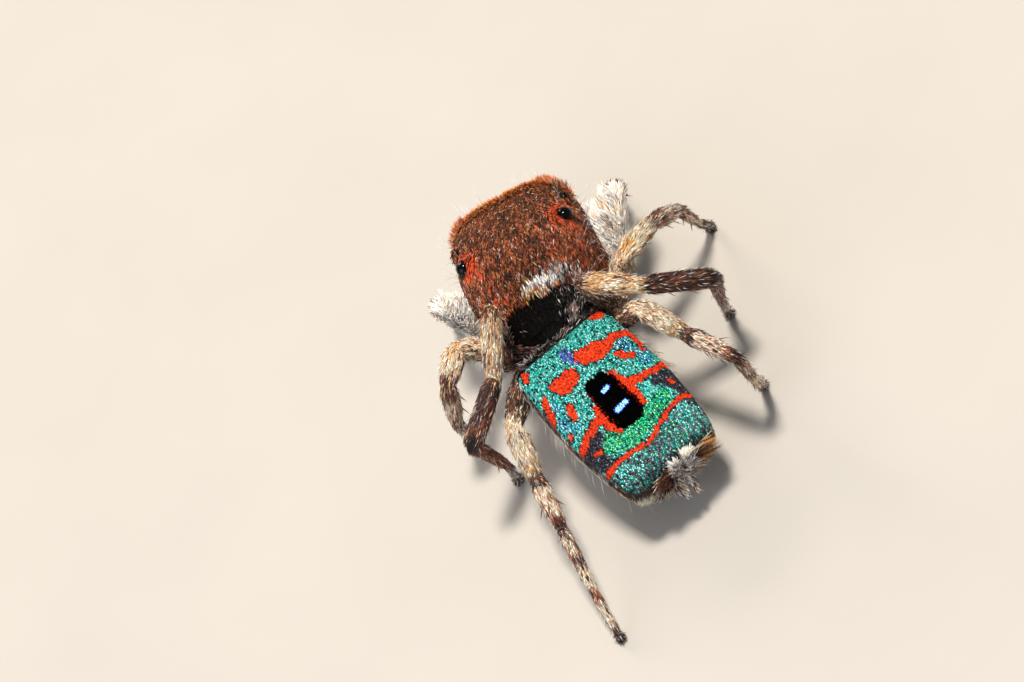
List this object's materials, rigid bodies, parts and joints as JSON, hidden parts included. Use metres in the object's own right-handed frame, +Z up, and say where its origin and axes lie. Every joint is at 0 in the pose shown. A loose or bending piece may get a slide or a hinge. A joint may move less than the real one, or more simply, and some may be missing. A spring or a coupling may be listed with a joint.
{
  "type": "peacock spider",
  "caption": "Still life-size male peacock spider, standing on the floor with a red-brown furry head and a bright turquoise, red and black scaled plate over its abdomen.",
  "frame": {"origin": "on the floor, under the middle of the whole spider's bounding box", "axes": "head looks along -Y, the spider's right side is -X, +Z is up"},
  "size_m": [0.0038, 0.0064, 0.0021],
  "materials": {
    "carapace_cuticle": "red-brown cuticle under a close coat of short rusty and pale scales",
    "plate_scales": "iridescent scales, turquoise with orange-red bands and a black patch with two pale blue spots",
    "belly_cuticle": "pale cuticle with cream and grey hairs",
    "leg_cuticle": "brown cuticle banded with cream and dark brown hairs",
    "dark_cuticle": "dark brown cuticle, thinly haired",
    "pale_hair": "white to cream hair, soft and matte",
    "eye_lens": "glossy black lens"
  },
  "bodies": {
    "root": {"abdomen": "plate_scales", "carapace": "carapace_cuticle", "chelicera_left": "dark_cuticle", "chelicera_right": "dark_cuticle", "eye_front_middle_left": "eye_lens", "eye_front_middle_right": "eye_lens", "eye_front_side_left": "eye_lens", "eye_front_side_right": "eye_lens", "eye_rear_side_left": "eye_lens", "eye_rear_side_right": "eye_lens", "eye_small_left": "eye_lens", "eye_small_right": "eye_lens", "leg_1_left_femur": "leg_cuticle", "leg_1_left_tarsus": "leg_cuticle", "leg_1_left_tibia": "leg_cuticle", "leg_1_right_femur": "leg_cuticle", "leg_1_right_tarsus": "leg_cuticle", "leg_1_right_tibia": "leg_cuticle", "leg_2_left_femur": "leg_cuticle", "leg_2_left_tarsus": "leg_cuticle", "leg_2_left_tibia": "leg_cuticle", "leg_2_right_femur": "leg_cuticle", "leg_2_right_tarsus": "leg_cuticle", "leg_2_right_tibia": "leg_cuticle", "leg_3_left_femur": "leg_cuticle", "leg_3_left_tarsus": "leg_cuticle", "leg_3_left_tibia": "leg_cuticle", "leg_3_right_femur": "leg_cuticle", "leg_3_right_tarsus": "leg_cuticle", "leg_3_right_tibia": "leg_cuticle", "leg_4_left_femur": "leg_cuticle", "leg_4_left_tarsus": "leg_cuticle", "leg_4_left_tibia": "leg_cuticle", "leg_4_right_femur": "leg_cuticle", "leg_4_right_tarsus": "leg_cuticle", "leg_4_right_tibia": "leg_cuticle", "palp_left": "pale_hair", "palp_right": "pale_hair", "pedicel": "dark_cuticle", "spinnerets": "belly_cuticle", "sternum": "dark_cuticle"}
  },
  "joints": []
}
